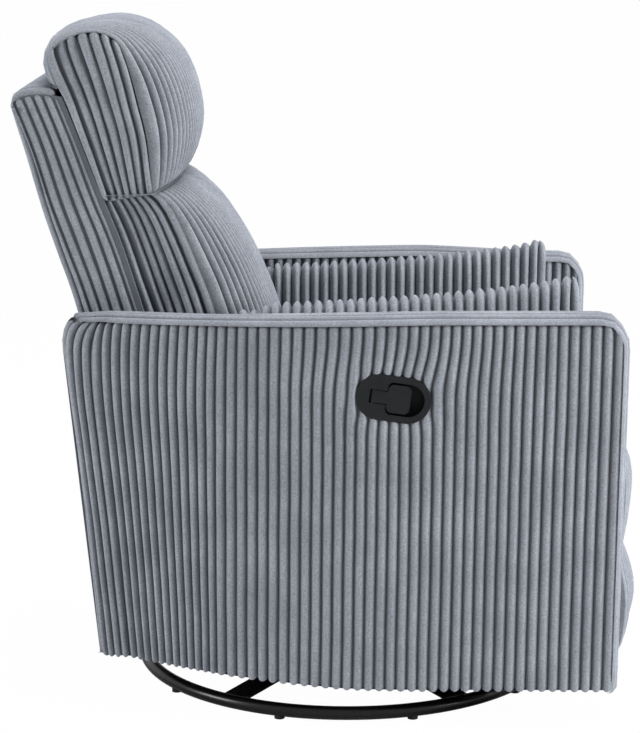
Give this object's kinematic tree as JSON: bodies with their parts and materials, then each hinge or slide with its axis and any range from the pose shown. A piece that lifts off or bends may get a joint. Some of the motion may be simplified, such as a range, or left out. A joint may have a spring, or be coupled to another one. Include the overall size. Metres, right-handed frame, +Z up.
{
  "type": "swivel glider recliner",
  "caption": "Upholstered recliner with curved arms and pillow pads that turns on a ring base, glides on hanging links, reclines, and raises a scissor-linked footrest by a side handle.",
  "frame": {"origin": "middle of the chair's footprint on the floor; the swivel axis stands 16.5 mm in front of it", "axes": "+Z up, the sitter faces -Y, +X to the sitter's left"},
  "size_m": [0.731, 0.9673, 1.0471],
  "materials": {
    "plush": "wide ribbed plush",
    "black_metal": "gloss black",
    "frame_steel": "satin black",
    "bright_steel": "zinc plated",
    "board": "raw plywood",
    "handle_plastic": "charcoal, fine texture",
    "black_plastic": "black",
    "cable_jacket": "black jacket"
  },
  "bodies": {
    "base": {"base_ring": "black_metal", "ring_glides": "black_plastic", "base_spokes": "black_metal", "lower_swivel_plate": "frame_steel", "king_bolt": "bright_steel", "plate_bolts": "bright_steel"},
    "ball_set": {"bearing_balls": "bright_steel", "ball_cage": "bright_steel"},
    "swivel_frame": {"upper_swivel_plate": "frame_steel", "glider_crossbars": "frame_steel", "right_glider_stand": "frame_steel", "left_glider_stand": "frame_steel", "upper_glide_rivets": "bright_steel"},
    "front_glide_links": {"front_right_glide_link": "frame_steel", "front_left_glide_link": "frame_steel"},
    "rear_glide_links": {"rear_right_glide_link": "frame_steel", "rear_left_glide_link": "frame_steel"},
    "carriage": {"right_side_plate": "frame_steel", "left_side_plate": "frame_steel", "carriage_rivets": "bright_steel", "back_pivot_bolts": "bright_steel", "front_seat_board": "board", "rear_seat_board": "board", "left_seat_board": "board", "right_seat_board": "board", "seat_springs": "bright_steel", "seat_cushion": "plush", "right_arm": "plush", "left_arm": "plush", "right_arm_frame": "board", "left_arm_frame": "board", "arm_bolts": "bright_steel", "right_arm_pad": "plush", "left_arm_pad": "plush", "rear_skirt": "plush", "handle_bezel": "handle_plastic", "lever_pin": "frame_steel", "release_cable": "cable_jacket", "footrest_latch": "black_plastic"},
    "back": {"back_shell": "plush", "back_frame": "board", "lumbar_cushion": "plush", "headrest_cushion": "plush", "back_brackets": "frame_steel"},
    "first_long": {"first_long_links": "frame_steel", "first_long_rivets": "bright_steel", "torque_tube": "frame_steel"},
    "first_cross": {"first_cross_links": "frame_steel", "first_cross_rivets": "bright_steel"},
    "second_long": {"second_long_links": "frame_steel", "second_long_rivets": "bright_steel"},
    "second_cross": {"second_cross_links": "frame_steel", "second_cross_rivets": "bright_steel"},
    "footrest": {"footrest_brackets": "frame_steel", "footrest_board": "board", "footrest_pad": "plush"},
    "handle": {"release_lever": "handle_plastic"}
  },
  "joints": [
    {"name": "swivel", "type": "hinge", "parent": "base", "child": "swivel_frame", "pos_m": [0, -0.0286, 0.07], "axis": [0, 0, 1], "continuous": true},
    {"name": "cage_turn", "type": "hinge", "parent": "base", "child": "ball_set", "pos_m": [0, -0.0286, 0.07], "axis": [0, 0, 1], "continuous": true},
    {"name": "glide", "type": "hinge", "parent": "swivel_frame", "child": "front_glide_links", "pos_m": [0, -0.1286, 0.232], "axis": [1, 0, 0], "range_deg": [-22, 22]},
    {"name": "glide_rear", "type": "hinge", "parent": "swivel_frame", "child": "rear_glide_links", "pos_m": [0, 0.0714, 0.232], "axis": [1, 0, 0], "range_deg": [-22, 22]},
    {"name": "glide_level", "type": "hinge", "parent": "front_glide_links", "child": "carriage", "pos_m": [0, -0.1286, 0.122], "axis": [1, 0, 0], "range_deg": [-22, 22]},
    {"name": "recline", "type": "hinge", "parent": "carriage", "child": "back", "pos_m": [0, 0.2214, 0.33], "axis": [-1, 0, 0], "range_deg": [0, 32]},
    {"name": "footrest_open", "type": "hinge", "parent": "carriage", "child": "first_long", "pos_m": [0, -0.3286, 0.318], "axis": [-1, 0, 0], "range_deg": [0, 38]},
    {"name": "first_cross_turn", "type": "hinge", "parent": "first_long", "child": "first_cross", "pos_m": [0, -0.3451, 0.22444], "axis": [-1, 0, 0], "range_deg": [-76, 0]},
    {"name": "second_long_turn", "type": "hinge", "parent": "first_cross", "child": "second_long", "pos_m": [0, -0.36159, 0.318], "axis": [-1, 0, 0], "range_deg": [0, 76]},
    {"name": "second_cross_turn", "type": "hinge", "parent": "second_long", "child": "second_cross", "pos_m": [0, -0.37809, 0.22444], "axis": [-1, 0, 0], "range_deg": [-76, 0]},
    {"name": "footrest_turn", "type": "hinge", "parent": "second_cross", "child": "footrest", "pos_m": [0, -0.39459, 0.318], "axis": [-1, 0, 0], "range_deg": [0, 128]},
    {"name": "handle", "type": "hinge", "parent": "carriage", "child": "handle", "pos_m": [-0.3588, -0.06689, 0.51418], "axis": [0, 0.1392, -0.9903], "range_deg": [0, 30], "stiffness_Nm_per_rad": 0.5, "springref_deg": -11.46}
  ],
  "couplings": [
    {"joint": "cage_turn", "follows": "swivel", "ratio": 0.5},
    {"joint": "glide_rear", "follows": "glide", "ratio": 1},
    {"joint": "glide_level", "follows": "glide", "ratio": -1},
    {"joint": "first_cross_turn", "follows": "footrest_open", "ratio": -2},
    {"joint": "second_long_turn", "follows": "footrest_open", "ratio": 2},
    {"joint": "second_cross_turn", "follows": "footrest_open", "ratio": -2},
    {"joint": "footrest_turn", "follows": "footrest_open", "ratio": 3.3684}
  ]
}
